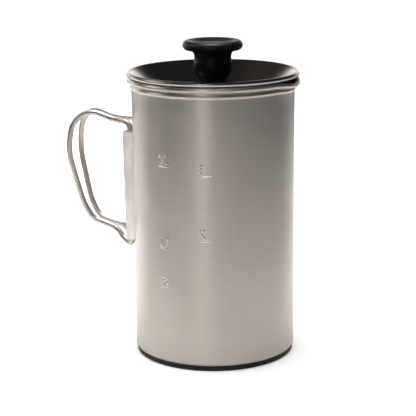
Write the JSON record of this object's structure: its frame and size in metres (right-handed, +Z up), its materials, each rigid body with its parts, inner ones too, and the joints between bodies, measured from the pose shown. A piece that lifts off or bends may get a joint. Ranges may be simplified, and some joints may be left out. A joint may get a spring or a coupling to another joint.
{
  "type": "camping coffee press",
  "caption": "Tall straight-walled metal coffee press with a pouring lip, folding wire handle loops, a dished lid and a knobbed plunger with a sprung mesh filter.",
  "frame": {"origin": "centre of the underside of the base pad, on the pot's axis", "axes": "+Z up along the pot's axis, +X towards the pouring lip, handle on -X"},
  "size_m": [0.1291, 0.091, 0.1679],
  "materials": {
    "pot_metal": "satin titanium, finely brushed round the wall",
    "pad_rubber": "matte black",
    "bracket_metal": "satin titanium, bead blasted",
    "wire_metal": "polished titanium wire",
    "lid_metal": "satin titanium, finely brushed round the dish",
    "bush_plastic": "matte black",
    "knob_plastic": "satin black",
    "knob_cap_plastic": "satin black",
    "steel_hardware": "plain turned and pressed steel",
    "rod_steel": "polished steel",
    "filter_steel": "pressed stainless sheet",
    "spring_steel": "coiled stainless wire",
    "mesh_steel": "woven stainless wire"
  },
  "bodies": {
    "pot": {"pot_shell": "pot_metal", "base_pad": "pad_rubber", "handle_bracket": "bracket_metal"},
    "loop_near": {"handle_wire_near": "wire_metal"},
    "loop_far": {"handle_wire_far": "wire_metal"},
    "lid": {"lid_dish": "lid_metal", "guide_bush": "bush_plastic", "guide_washer": "steel_hardware", "guide_nut": "steel_hardware"},
    "plunger": {"knob_body": "knob_plastic", "knob_cap": "knob_cap_plastic", "knob_nut": "steel_hardware", "plunger_rod": "rod_steel", "rod_collar": "steel_hardware", "collar_washer": "steel_hardware", "spring_plate": "filter_steel", "edge_spring": "spring_steel", "mesh_screen": "mesh_steel", "cross_plate": "filter_steel", "lower_washer": "steel_hardware", "hub_nut": "steel_hardware"}
  },
  "joints": [
    {"name": "lid_lift", "type": "slide", "parent": "pot", "child": "lid", "axis": [0, 0, 1], "range_m": [0, 0.16]},
    {"name": "plunger_slide", "type": "slide", "parent": "lid", "child": "plunger", "axis": [0, 0, 1], "range_m": [0, 0.117]},
    {"name": "handle_near_hinge", "type": "hinge", "parent": "pot", "child": "loop_near", "pos_m": [-0.04485, -0.0075, 0.0886], "axis": [0, 0, 1], "range_deg": [0, 123]},
    {"name": "handle_far_hinge", "type": "hinge", "parent": "pot", "child": "loop_far", "pos_m": [-0.04485, 0.0075, 0.0886], "axis": [0, 0, -1], "range_deg": [0, 123]}
  ]
}
